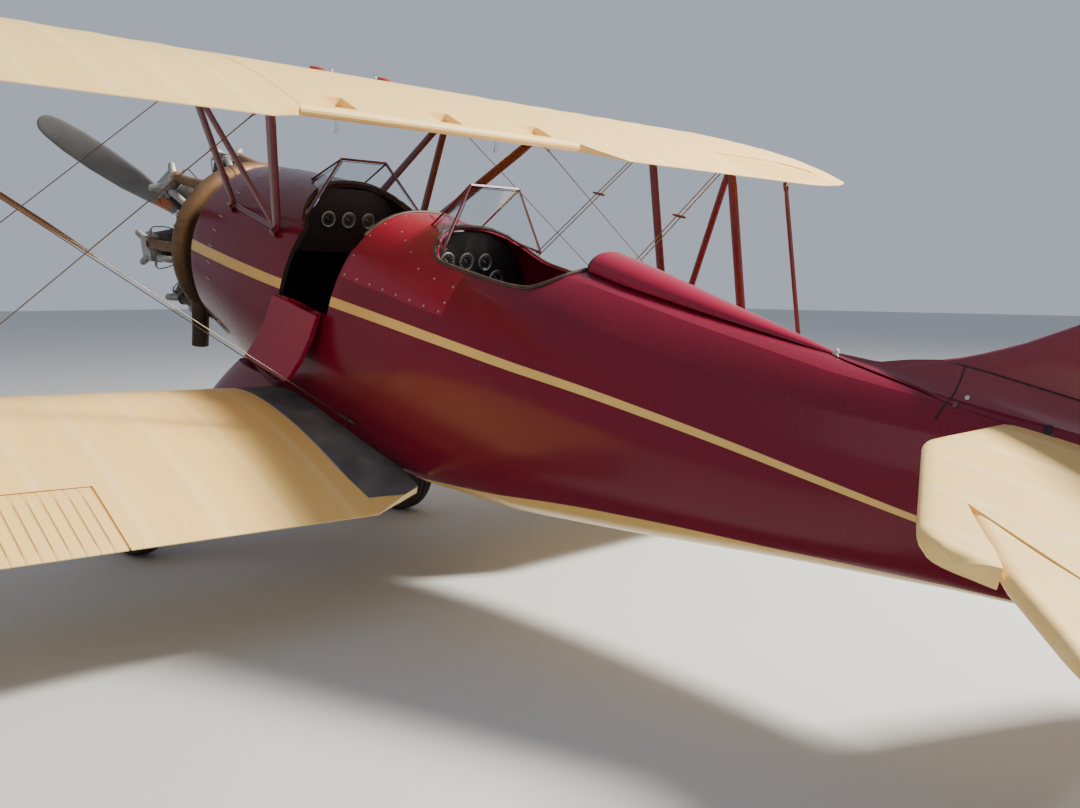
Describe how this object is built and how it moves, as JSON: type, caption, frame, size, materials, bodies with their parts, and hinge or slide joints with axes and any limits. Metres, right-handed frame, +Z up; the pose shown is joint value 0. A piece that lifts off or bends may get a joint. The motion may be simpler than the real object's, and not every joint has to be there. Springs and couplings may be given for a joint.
{
  "type": "open two-cockpit biplane with an uncowled radial engine and a tailwheel",
  "caption": "Biplane with strut-braced wings, open tandem cockpits, radial engine with collector ring, fixed faired gear and tailwheel, standing on its wheels.",
  "frame": {"origin": "middle of the bottom of the bounding box, on the ground that the wheels stand on", "axes": "+X to port (left), -Y forward towards the propeller, +Y aft, +Z up; the aircraft sits 13.5 degrees nose-up on its three wheels"},
  "size_m": [9.144, 7.0452, 2.6563],
  "materials": {
    "maroon_paint": "high gloss over fabric and sheet",
    "cream_paint": "satin dope over fabric",
    "strut_paint": "gloss",
    "black_paint": "satin",
    "leather": "worn satin",
    "steel": "satin",
    "wire": "satin",
    "engine_metal": "cast and machined, oily",
    "exhaust_steel": "heat-stained brown",
    "blade_metal": "polished satin",
    "rim_metal": "satin",
    "tyre": "matt rubber",
    "screen": "clear"
  },
  "bodies": {
    "airframe": {"fuselage": "maroon_paint", "nose_cowl": "maroon_paint", "mid_deck": "maroon_paint", "headrest": "maroon_paint", "fin": "maroon_paint", "gear_leg_left": "maroon_paint", "gear_leg_right": "maroon_paint", "centre_section": "cream_paint", "upper_wing_left": "cream_paint", "upper_wing_right": "cream_paint", "lower_wing_left": "cream_paint", "lower_wing_right": "cream_paint", "tailplane_left": "cream_paint", "tailplane_right": "cream_paint", "front_screen_frame": "strut_paint", "rear_screen_frame": "strut_paint", "cabane_left": "strut_paint", "cabane_right": "strut_paint", "interplane_left": "strut_paint", "interplane_right": "strut_paint", "tail_brace_left": "strut_paint", "tail_brace_right": "strut_paint", "floor": "black_paint", "front_panel": "black_paint", "rear_panel": "black_paint", "front_seat": "black_paint", "rear_seat": "black_paint", "engine_mount": "black_paint", "front_cushion": "leather", "rear_cushion": "leather", "controls": "steel", "tail_bracket": "steel", "flying_wire_front_left": "wire", "flying_wire_front_right": "wire", "flying_wire_rear_left": "wire", "flying_wire_rear_right": "wire", "landing_wire_front_left": "wire", "landing_wire_front_right": "wire", "landing_wire_rear_left": "wire", "landing_wire_rear_right": "wire", "engine": "engine_metal", "exhaust": "exhaust_steel", "front_screen_glass": "screen", "rear_screen_glass": "screen"},
    "door": {"door": "maroon_paint"},
    "propeller": {"propeller": "blade_metal"},
    "rudder": {"rudder": "maroon_paint"},
    "elevators": {"elevators": "cream_paint"},
    "tail_fork": {"tail_fork": "steel"},
    "tail_wheel": {"tail_tyre": "tyre"},
    "wheel_left": {"wheel_rim_left": "rim_metal", "tyre_left": "tyre"},
    "upper_aileron_left": {"upper_aileron_left": "cream_paint"},
    "lower_aileron_left": {"lower_aileron_left": "cream_paint"},
    "aileron_rod_left": {"aileron_rod_left": "strut_paint"},
    "wheel_right": {"wheel_rim_right": "rim_metal", "tyre_right": "tyre"},
    "upper_aileron_right": {"upper_aileron_right": "cream_paint"},
    "lower_aileron_right": {"lower_aileron_right": "cream_paint"},
    "aileron_rod_right": {"aileron_rod_right": "strut_paint"}
  },
  "joints": [
    {"name": "propeller_spin", "type": "hinge", "parent": "airframe", "child": "propeller", "pos_m": [0, -3.38714, 1.93433], "axis": [0, 0.9724, -0.2334], "continuous": true},
    {"name": "wheel_spin_left", "type": "hinge", "parent": "airframe", "child": "wheel_left", "pos_m": [0.91, -2.34881, 0.305], "axis": [1, 0, 0], "continuous": true},
    {"name": "wheel_spin_right", "type": "hinge", "parent": "airframe", "child": "wheel_right", "pos_m": [-0.91, -2.34881, 0.305], "axis": [1, 0, 0], "continuous": true},
    {"name": "tailwheel_swivel", "type": "hinge", "parent": "airframe", "child": "tail_fork", "pos_m": [0, 2.57321, 0.33], "axis": [0, 0, 1], "range_deg": [-30, 30]},
    {"name": "tailwheel_spin", "type": "hinge", "parent": "tail_fork", "child": "tail_wheel", "pos_m": [0, 2.64721, 0.125], "axis": [1, 0, 0], "continuous": true},
    {"name": "door_hinge", "type": "hinge", "parent": "airframe", "child": "door", "pos_m": [0.53128, -1.20856, 1.41336], "axis": [0, 0.9724, -0.2334], "range_deg": [-176, 0]},
    {"name": "rudder_hinge", "type": "hinge", "parent": "airframe", "child": "rudder", "pos_m": [0, 2.72599, 0.92434], "axis": [0, 0.2334, 0.9724], "range_deg": [-30, 30]},
    {"name": "elevator_hinge", "type": "hinge", "parent": "airframe", "child": "elevators", "pos_m": [0, 2.78433, 0.91033], "axis": [1, 0, 0], "range_deg": [-20, 25]},
    {"name": "lower_aileron_hinge_left", "type": "hinge", "parent": "airframe", "child": "lower_aileron_left", "pos_m": [1.80253, -0.65506, 0.6876], "axis": [0.9995, 0.0071, 0.0297], "range_deg": [-20, 20]},
    {"name": "upper_aileron_hinge_left", "type": "hinge", "parent": "airframe", "child": "upper_aileron_left", "pos_m": [2.306, -0.82248, 2.32483], "axis": [1, 0, 0], "range_deg": [-20, 20]},
    {"name": "lower_aileron_hinge_right", "type": "hinge", "parent": "airframe", "child": "lower_aileron_right", "pos_m": [-1.80253, -0.65506, 0.6876], "axis": [0.9995, -0.0071, -0.0297], "range_deg": [-20, 20]},
    {"name": "upper_aileron_hinge_right", "type": "hinge", "parent": "airframe", "child": "upper_aileron_right", "pos_m": [-2.306, -0.82248, 2.32483], "axis": [1, 0, 0], "range_deg": [-20, 20]},
    {"name": "aileron_rod_pivot_left", "type": "hinge", "parent": "lower_aileron_left", "child": "aileron_rod_left", "pos_m": [2.75709, -0.35788, 0.67971], "axis": [1, 0, 0], "range_deg": [-25, 25]},
    {"name": "aileron_rod_pivot_right", "type": "hinge", "parent": "lower_aileron_right", "child": "aileron_rod_right", "pos_m": [-2.75709, -0.35788, 0.67971], "axis": [1, 0, 0], "range_deg": [-25, 25]}
  ],
  "couplings": [
    {"joint": "upper_aileron_hinge_left", "follows": "lower_aileron_hinge_left", "ratio": 1},
    {"joint": "lower_aileron_hinge_right", "follows": "lower_aileron_hinge_left", "ratio": -1},
    {"joint": "upper_aileron_hinge_right", "follows": "lower_aileron_hinge_left", "ratio": -1},
    {"joint": "aileron_rod_pivot_left", "follows": "lower_aileron_hinge_left", "ratio": -1},
    {"joint": "aileron_rod_pivot_right", "follows": "lower_aileron_hinge_left", "ratio": 1}
  ]
}
